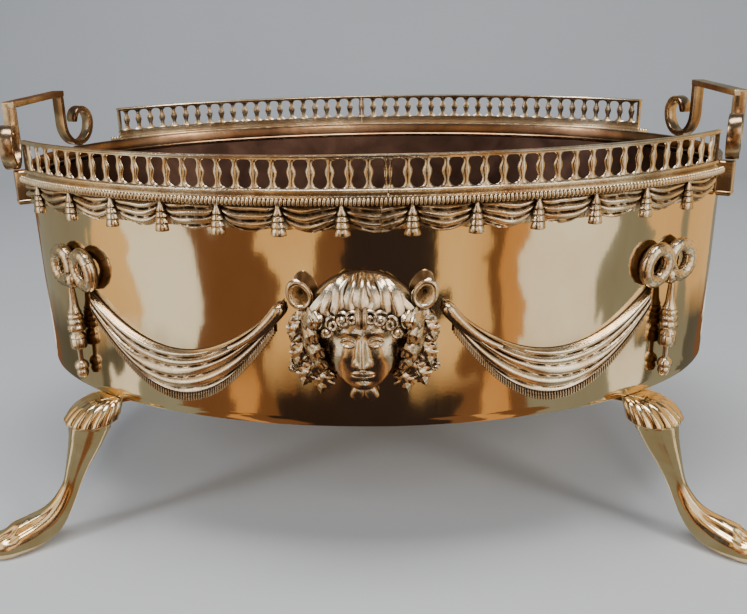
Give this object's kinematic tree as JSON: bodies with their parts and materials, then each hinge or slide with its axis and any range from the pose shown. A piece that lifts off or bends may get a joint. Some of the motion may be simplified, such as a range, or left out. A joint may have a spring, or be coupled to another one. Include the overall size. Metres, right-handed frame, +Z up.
{
  "type": "oval planter pot",
  "caption": "Oval brass planter pot with pierced galleries, swag and mask ornament, scroll handles, paw feet and a lift-out liner.",
  "frame": {"origin": "on the floor, under the middle of the pot (bottom centre of the bounding box)", "axes": "+X along the long axis to the right-hand handle, +Z up, -Y is the front"},
  "size_m": [0.477, 0.3554, 0.2645],
  "materials": {
    "brass_sheet": "polished sheet and turned legs, warm gold, light wear",
    "brass_cast": "cast ornament, pale gold on the high points, brown patina in the recesses",
    "brass_aged": "aged brown-gold bar, rubbed bright on the edges",
    "liner_copper": "dull dark brown sheet copper",
    "screw_steel": "plain steel screws inside"
  },
  "bodies": {
    "pot": {"base_plate": "brass_sheet", "bead_border_back": "brass_cast", "bead_border_front": "brass_cast", "body_wall": "brass_sheet", "bow_back_left": "brass_cast", "bow_back_right": "brass_cast", "bow_front_left": "brass_cast", "bow_front_right": "brass_cast", "frieze_back_left": "brass_cast", "frieze_back_right": "brass_cast", "frieze_front_left": "brass_cast", "frieze_front_right": "brass_cast", "gallery_back_left": "brass_cast", "gallery_back_right": "brass_cast", "gallery_front_left": "brass_cast", "gallery_front_right": "brass_cast", "handle_bracket_back_left": "brass_aged", "handle_bracket_back_right": "brass_aged", "handle_bracket_front_left": "brass_aged", "handle_bracket_front_right": "brass_aged", "handle_left": "brass_aged", "handle_right": "brass_aged", "leg_back_left": "brass_sheet", "leg_back_right": "brass_sheet", "leg_front_left": "brass_sheet", "leg_front_right": "brass_sheet", "leg_screw_back_left": "screw_steel", "leg_screw_back_right": "screw_steel", "leg_screw_front_left": "screw_steel", "leg_screw_front_right": "screw_steel", "mask_back": "brass_cast", "mask_front": "brass_cast", "pendant_back_left": "brass_cast", "pendant_back_right": "brass_cast", "pendant_front_left": "brass_cast", "pendant_front_right": "brass_cast", "rim_collar": "brass_aged", "swag_back_left": "brass_cast", "swag_back_right": "brass_cast", "swag_front_left": "brass_cast", "swag_front_right": "brass_cast"},
    "liner": {"liner": "liner_copper"}
  },
  "joints": [
    {"name": "liner_lift", "type": "slide", "parent": "pot", "child": "liner", "axis": [0, 0, 1], "range_m": [0, 0.2]}
  ]
}
